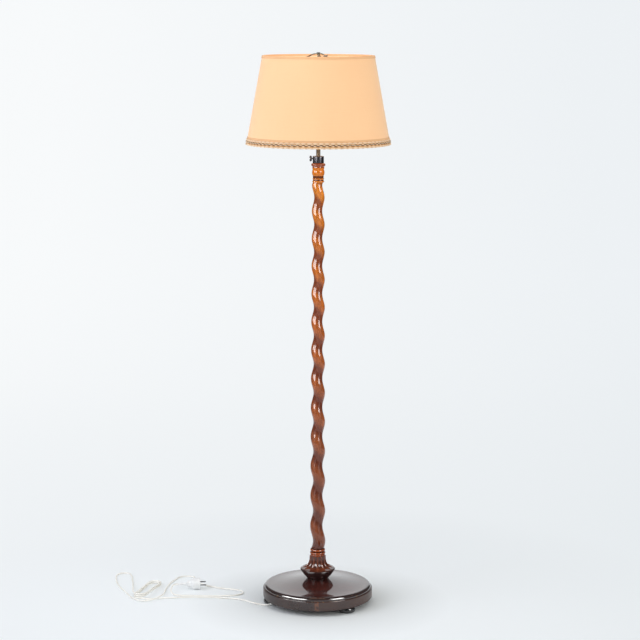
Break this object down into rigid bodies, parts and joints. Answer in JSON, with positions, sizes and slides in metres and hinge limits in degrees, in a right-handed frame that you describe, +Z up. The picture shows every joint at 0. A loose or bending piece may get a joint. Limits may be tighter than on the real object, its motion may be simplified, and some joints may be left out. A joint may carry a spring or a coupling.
{
  "type": "floor lamp",
  "caption": "Standard lamp with a left-handed barley-twist wooden column, a carved knop on a round domed base, a sliding stem and a cone fabric shade.",
  "frame": {"origin": "middle of the base, on the floor", "axes": "+Z up along the column, -Y the front that the picture shows, +X its right"},
  "size_m": [0.8799, 0.5219, 1.708],
  "materials": {
    "base_wood": "gloss",
    "foot_black": "gloss",
    "steel": "satin",
    "knop_wood": "gloss",
    "column_wood": "gloss",
    "capital_wood": "gloss",
    "brass": "satin",
    "aged_brass": "satin",
    "dark_nickel": "gloss",
    "white_plastic": "satin",
    "white_flex": "satin",
    "porcelain": "gloss",
    "key_plastic": "gloss",
    "bulb_cap_metal": "satin",
    "bulb_glass": "gloss",
    "dark_brass": "satin",
    "ring_steel": "satin",
    "shade_cloth": "matte",
    "lining_cloth": "matte",
    "binding_cloth": "matte",
    "band_cloth": "matte",
    "braid_cloth": "matte",
    "plug_white": "satin",
    "pin_nickel": "gloss"
  },
  "bodies": {
    "stand": {"base_disc": "base_wood", "bun_feet": "foot_black", "foot_screws": "steel", "carved_knop": "knop_wood", "twist_column": "column_wood", "column_capital": "capital_wood", "tie_tube": "steel", "tie_nut": "brass", "tie_washer": "steel", "lead_bush": "white_plastic", "lead_clip": "white_plastic", "clip_screw": "steel", "clamp_collar": "dark_nickel", "guide_bush": "brass", "flex_in_column": "white_flex", "cord_lead": "white_flex", "cord_hank": "white_flex", "cord_tail": "white_flex", "plug_relief": "plug_white", "plug_body": "plug_white", "plug_pins": "pin_nickel"},
    "pad": {"clamp_pad": "brass"},
    "screw": {"thumbscrew": "dark_nickel"},
    "stop": {"stop_ring": "brass"},
    "stem": {"stem_tube": "aged_brass", "stem_end_bush": "white_plastic", "stem_locknut": "aged_brass", "harp_saddle": "aged_brass", "shade_harp": "aged_brass", "holder_cap": "aged_brass", "holder_shell": "aged_brass", "holder_core": "porcelain", "holder_contacts": "brass", "bulb_cap": "bulb_cap_metal", "bulb_glass": "bulb_glass", "harp_finial": "dark_brass", "flex_in_stem": "white_flex"},
    "key": {"switch_key": "key_plastic"},
    "shade": {"shade_spider": "dark_brass", "lower_ring": "ring_steel", "shade_fabric": "shade_cloth", "shade_lining": "lining_cloth", "rim_binding": "binding_cloth", "hem_band": "band_cloth", "hem_braid": "braid_cloth"}
  },
  "joints": [
    {"name": "stem_slide", "type": "slide", "parent": "stand", "child": "stop", "axis": [0, 0, 1], "range_m": [-0.045, 0.22], "deforming": ["flex_in_column"]},
    {"name": "stem_turn", "type": "hinge", "parent": "stop", "child": "stem", "pos_m": [0, 0, 1.1455], "axis": [0, 0, 1], "continuous": true},
    {"name": "shade_turn", "type": "hinge", "parent": "stem", "child": "shade", "pos_m": [0, 0, 1.704], "axis": [0, 0, 1], "continuous": true},
    {"name": "switch_turn", "type": "hinge", "parent": "stem", "child": "key", "pos_m": [0, -0.02, 1.4733], "axis": [0, -1, 0], "continuous": true},
    {"name": "pad_slide", "type": "slide", "parent": "stand", "child": "pad", "axis": [-1, 0, 0], "range_m": [0, 0.0016]},
    {"name": "thumbscrew_turn", "type": "hinge", "parent": "pad", "child": "screw", "pos_m": [-0.02, 0, 1.3887], "axis": [-1, 0, 0], "range_deg": [0, 720]}
  ],
  "couplings": [
    {"joint": "pad_slide", "follows": "thumbscrew_turn", "m_per_rad": 0.00012732}
  ]
}
